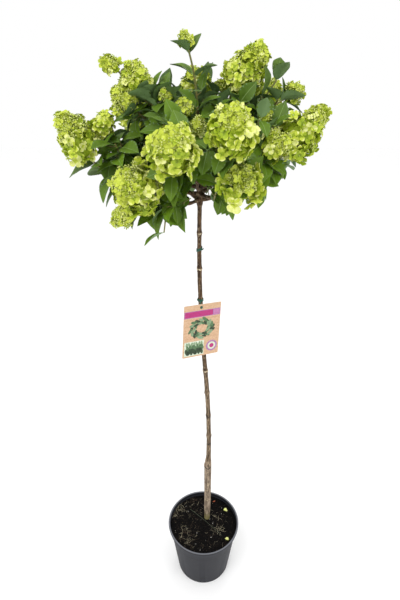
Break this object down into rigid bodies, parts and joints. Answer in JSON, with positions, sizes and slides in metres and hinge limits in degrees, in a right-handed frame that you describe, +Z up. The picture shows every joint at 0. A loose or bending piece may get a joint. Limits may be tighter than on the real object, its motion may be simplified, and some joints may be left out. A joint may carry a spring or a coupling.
{
  "type": "panicle hydrangea standard in a nursery pot",
  "caption": "Panicle hydrangea grown as a small standard tree, with lime-green flower heads on a clear stem, standing in a black nursery pot with compost and a hanging label.",
  "frame": {"origin": "middle of the pot's flat underside, where the plant stands", "axes": "+Z up along the trunk, -Y towards the side seen in front, +X to the right of that view"},
  "size_m": [0.4956, 0.5036, 1.5842],
  "materials": {
    "pot": "moulded black plastic, satin, dusty",
    "compost": "moist dark compost with fibres, matt",
    "bark": "grey-brown bark, matt",
    "foliage": "dark green leaves and lime-green florets, semi-matt",
    "tie": "dark green soft plastic",
    "label": "printed plastic card, satin"
  },
  "bodies": {
    "root": {"bough_back": "bark", "bough_back_left": "bark", "bough_back_right": "bark", "bough_front": "bark", "bough_left": "bark", "bough_lower_left": "bark", "bough_lower_right": "bark", "bough_right": "bark", "bough_top": "bark", "bough_upper_left": "bark", "bough_upper_right": "bark", "compost": "compost", "foliage_back": "foliage", "foliage_back_left": "foliage", "foliage_back_right": "foliage", "foliage_front": "foliage", "foliage_left": "foliage", "foliage_lower_left": "foliage", "foliage_lower_right": "foliage", "foliage_right": "foliage", "foliage_top": "foliage", "foliage_upper_left": "foliage", "foliage_upper_right": "foliage", "label": "label", "pot": "pot", "tie_lower": "tie", "tie_upper": "tie", "trunk": "bark"}
  },
  "joints": []
}
